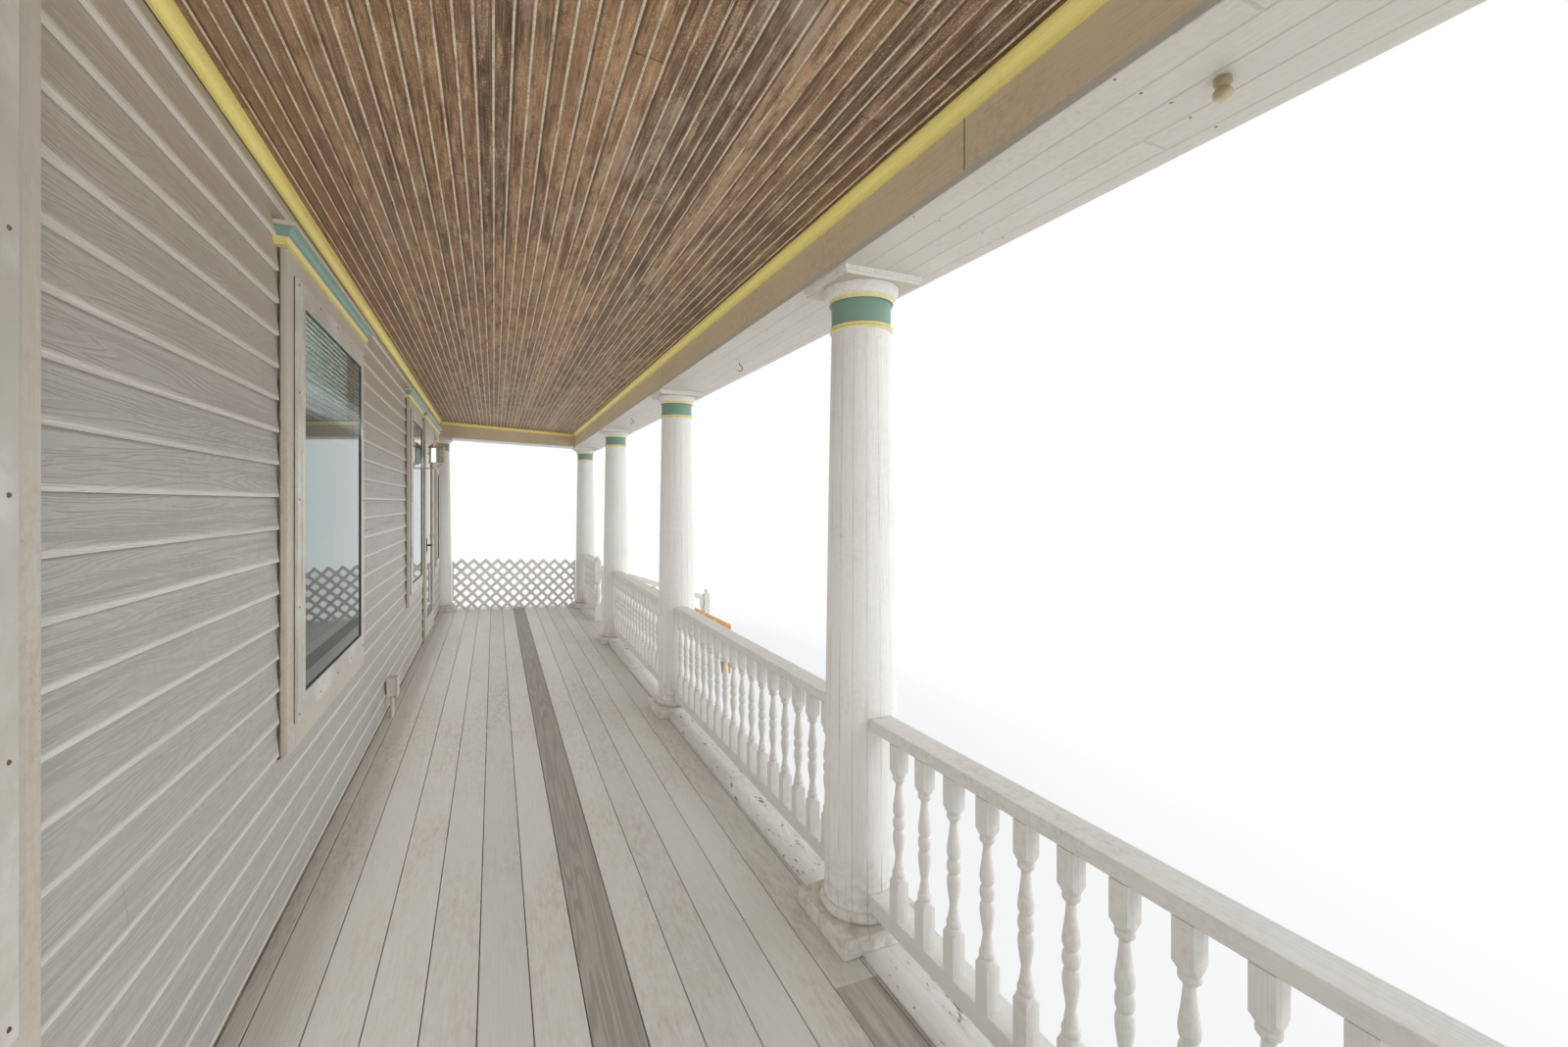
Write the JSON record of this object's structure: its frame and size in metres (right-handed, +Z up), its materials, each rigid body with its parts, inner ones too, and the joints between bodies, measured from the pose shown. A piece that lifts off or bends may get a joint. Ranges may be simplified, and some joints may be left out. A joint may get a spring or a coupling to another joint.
{
  "type": "front porch with turned columns",
  "caption": "Raised wooden front porch with round columns, turned balustrades, steps, boarded ceiling and a storm door in a slice of sided house wall.",
  "frame": {"origin": "middle of the whole outline on the ground, under the porch", "axes": "+X along the porch, from the near end to the end beside the steps; +Y towards the house; +Z up"},
  "size_m": [10.99, 3.528, 3.8049],
  "materials": {
    "white_paint": "worn white paint",
    "wall_paint": "off-white painted siding with wood grain",
    "floor_paint": "worn grey-beige floor paint",
    "bare_wood": "weathered bare wood",
    "green_paint": "sage green and yellow paint",
    "yellow_paint": "yellow paint",
    "ceiling_boards": "stripped brown beaded boards",
    "raw_timber": "raw sawn timber",
    "masonry": "plain concrete",
    "roofing": "grey roof shingles",
    "white_metal": "white enamel",
    "cream_metal": "cream enamel",
    "dark_metal": "dark enamel",
    "white_plastic": "white plastic",
    "glass": "clear glass"
  },
  "bodies": {
    "porch": {"foundation_wall": "masonry", "lower_walls": "wall_paint", "wall_piers": "wall_paint", "upper_wall": "wall_paint", "porch_piers": "masonry", "floor_joists": "bare_wood", "skirt_boards": "white_paint", "floor_boards": "floor_paint", "replaced_floor_board": "bare_wood", "curb_planks": "white_paint", "column_plinths": "white_paint", "column_bases": "white_paint", "column_shafts": "white_paint", "column_capitals": "green_paint", "beam_soffits": "white_paint", "beam_inner_boards": "white_paint", "beam_outer_boards": "white_paint", "ceiling": "ceiling_boards", "ceiling_mouldings": "yellow_paint", "roof_boards": "roofing", "eave_board": "white_paint", "roof_end_panels": "white_paint", "handrails": "white_paint", "bottom_rails": "white_paint", "balusters_bay_1": "white_paint", "balusters_bay_2": "white_paint", "balusters_bay_3": "white_paint", "balusters_bay_4": "white_paint", "newel_posts": "white_paint", "step_handrail": "white_paint", "timber_rail": "raw_timber", "step_stringers": "white_paint", "step_risers": "white_paint", "step_treads": "floor_paint", "lattice_near": "white_paint", "lattice_far": "white_paint", "window_casings": "white_paint", "opening_caps": "green_paint", "storm_windows": "white_metal", "window_panes": "glass", "door_casing": "white_paint", "door_threshold": "bare_wood", "lantern": "cream_metal", "lantern_glass": "glass", "outlet_box": "white_plastic"},
    "door": {"storm_door": "white_metal", "storm_door_pane": "glass", "storm_door_handle": "dark_metal"}
  },
  "joints": [
    {"name": "storm_door_hinge", "type": "hinge", "parent": "porch", "child": "door", "pos_m": [3.76, 1.573, 1.7], "axis": [0, 0, 1], "range_deg": [0, 90]}
  ]
}
